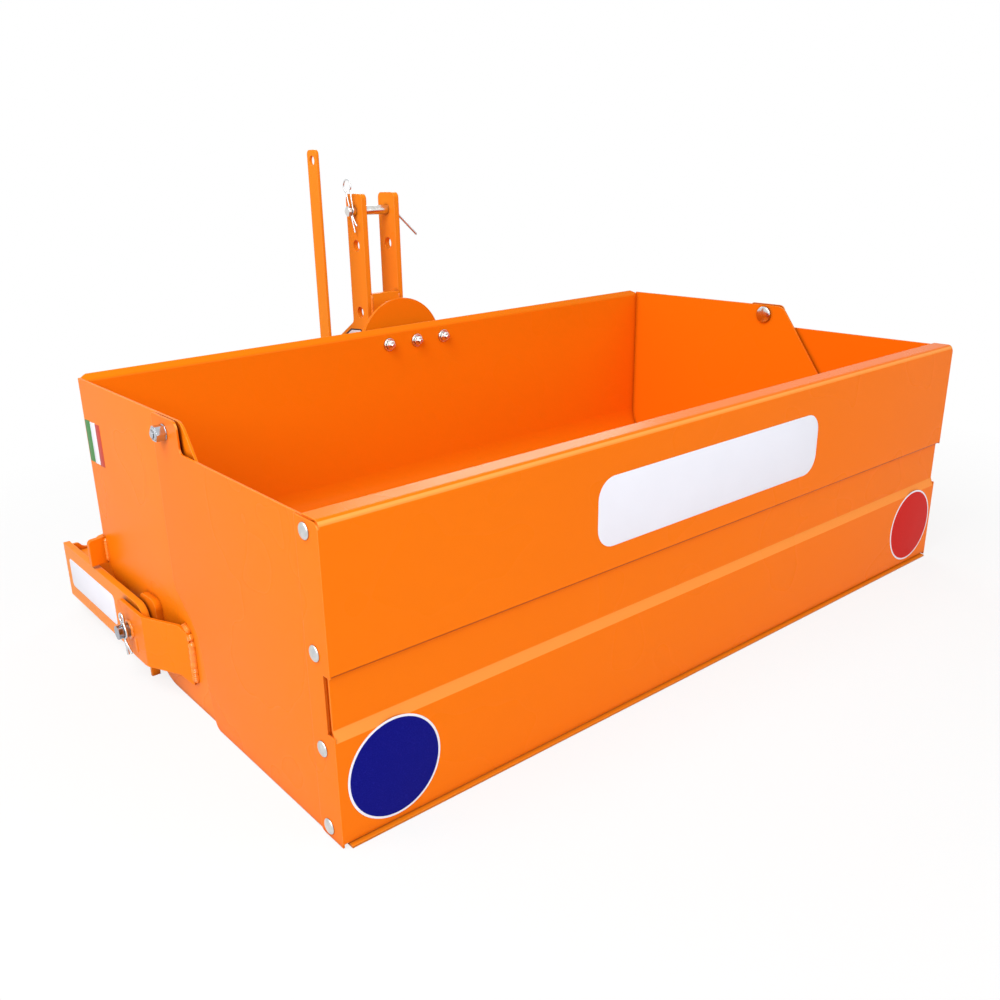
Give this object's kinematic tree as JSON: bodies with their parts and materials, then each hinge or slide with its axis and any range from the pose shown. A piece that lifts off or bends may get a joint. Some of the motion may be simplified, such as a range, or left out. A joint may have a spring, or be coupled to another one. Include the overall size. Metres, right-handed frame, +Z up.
{
  "type": "tipping tractor transport box with swinging tailgate",
  "caption": "Wide steel transport box on a three-point hitch frame; it tips rearward on side pins, with a U-shaped swinging tailgate, link tower and latch lever.",
  "frame": {"origin": "on the ground, under the middle of the box's width and depth, on the underside of the floor", "axes": "+X to the right when looking forward, +Y forward to the tractor, +Z up"},
  "size_m": [1.925, 1.34, 1.05],
  "materials": {
    "box_orange": "glossy powder coat",
    "gate_orange": "glossy powder coat",
    "frame_orange": "glossy powder coat",
    "zinc_steel": "bright zinc plating"
  },
  "bodies": {
    "hitch_frame": {"arm_foot_left": "frame_orange", "arm_foot_right": "frame_orange", "arm_left": "frame_orange", "arm_right": "frame_orange", "cross_beam": "frame_orange", "cross_plate": "frame_orange", "hitch_ear_inner_left": "frame_orange", "hitch_ear_inner_right": "frame_orange", "hitch_ear_outer_left": "frame_orange", "hitch_ear_outer_right": "frame_orange", "mast_block": "frame_orange", "mast_left": "frame_orange", "mast_right": "frame_orange", "top_link_pin": "zinc_steel"},
    "bucket": {"catch_plate": "box_orange", "cheek_left": "box_orange", "cheek_right": "box_orange", "floor_blade": "frame_orange", "pivot_boss_left": "box_orange", "pivot_boss_right": "box_orange", "rest_lug_left": "box_orange", "rest_lug_right": "box_orange", "side_plate_left": "box_orange", "side_plate_right": "box_orange", "striker": "box_orange", "tip_pin_left": "zinc_steel", "tip_pin_right": "zinc_steel", "tub_sheet": "box_orange"},
    "tailgate": {"hinge_bolt_left": "zinc_steel", "hinge_bolt_right": "zinc_steel", "rear_panel": "gate_orange", "wing_left": "gate_orange", "wing_right": "gate_orange"},
    "latch": {"latch_hook": "frame_orange", "latch_lever": "frame_orange", "latch_shaft": "frame_orange"}
  },
  "joints": [
    {"name": "tip_pivot", "type": "hinge", "parent": "hitch_frame", "child": "bucket", "pos_m": [0, 0.265, 0.11], "axis": [1, 0, 0], "range_deg": [0, 75]},
    {"name": "tailgate_hinge", "type": "hinge", "parent": "bucket", "child": "tailgate", "pos_m": [0, 0.025, 0.576], "axis": [-1, 0, 0], "range_deg": [0, 90]},
    {"name": "latch_pivot", "type": "hinge", "parent": "hitch_frame", "child": "latch", "pos_m": [0, 0.6555, 0.42], "axis": [1, 0, 0], "range_deg": [-10, 18]}
  ]
}
